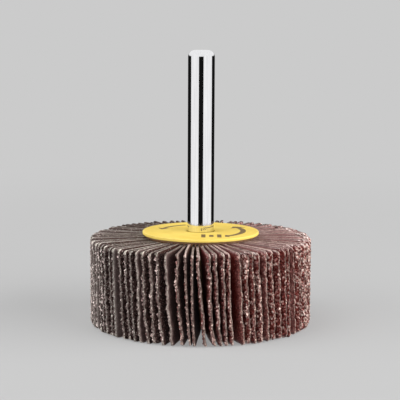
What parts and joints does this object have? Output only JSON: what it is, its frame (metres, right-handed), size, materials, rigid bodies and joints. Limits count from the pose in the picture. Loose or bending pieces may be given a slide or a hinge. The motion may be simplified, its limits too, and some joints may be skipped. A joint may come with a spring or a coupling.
{
  "type": "mounted flap wheel",
  "caption": "Flap wheel of radial abrasive cloth flaps cast into a resin hub on a round steel shank, for grinding and finishing with a drill or straight grinder.",
  "frame": {"origin": "centre of the wheel's lower face, on the axis, where the lower edges of the flaps stand", "axes": "+Z along the axis, from the wheel towards the free end of the shank; -Y is the side that the picture shows"},
  "size_m": [0.05, 0.05, 0.0613],
  "materials": {
    "shank_steel": "bright drawn and polished steel",
    "hub_resin": "cast epoxy resin, dull",
    "label_card": "yellow printed card, satin",
    "abrasive_cloth": "cotton cloth coated on one face with brown aluminium oxide grain, matte"
  },
  "bodies": {
    "root": {"spindle": "shank_steel", "resin_hub": "hub_resin", "label_disc": "label_card", "flap_pair_01": "abrasive_cloth", "flap_pair_02": "abrasive_cloth", "flap_pair_03": "abrasive_cloth", "flap_pair_04": "abrasive_cloth", "flap_pair_05": "abrasive_cloth", "flap_pair_06": "abrasive_cloth", "flap_pair_07": "abrasive_cloth", "flap_pair_08": "abrasive_cloth", "flap_pair_09": "abrasive_cloth", "flap_pair_10": "abrasive_cloth", "flap_pair_11": "abrasive_cloth", "flap_pair_12": "abrasive_cloth", "flap_pair_13": "abrasive_cloth", "flap_pair_14": "abrasive_cloth", "flap_pair_15": "abrasive_cloth", "flap_pair_16": "abrasive_cloth", "flap_pair_17": "abrasive_cloth", "flap_pair_18": "abrasive_cloth", "flap_pair_19": "abrasive_cloth", "flap_pair_20": "abrasive_cloth", "flap_pair_21": "abrasive_cloth", "flap_pair_22": "abrasive_cloth", "flap_pair_23": "abrasive_cloth", "flap_pair_24": "abrasive_cloth", "flap_pair_25": "abrasive_cloth", "flap_pair_26": "abrasive_cloth", "flap_pair_27": "abrasive_cloth", "flap_pair_28": "abrasive_cloth", "flap_pair_29": "abrasive_cloth", "flap_pair_30": "abrasive_cloth", "flap_pair_31": "abrasive_cloth", "flap_pair_32": "abrasive_cloth", "flap_pair_33": "abrasive_cloth", "flap_pair_34": "abrasive_cloth", "flap_pair_35": "abrasive_cloth", "flap_pair_36": "abrasive_cloth", "flap_pair_37": "abrasive_cloth", "flap_pair_38": "abrasive_cloth", "flap_pair_39": "abrasive_cloth", "flap_pair_40": "abrasive_cloth", "flap_pair_41": "abrasive_cloth", "flap_pair_42": "abrasive_cloth", "flap_pair_43": "abrasive_cloth", "flap_pair_44": "abrasive_cloth", "flap_pair_45": "abrasive_cloth", "flap_pair_46": "abrasive_cloth"}
  },
  "joints": []
}
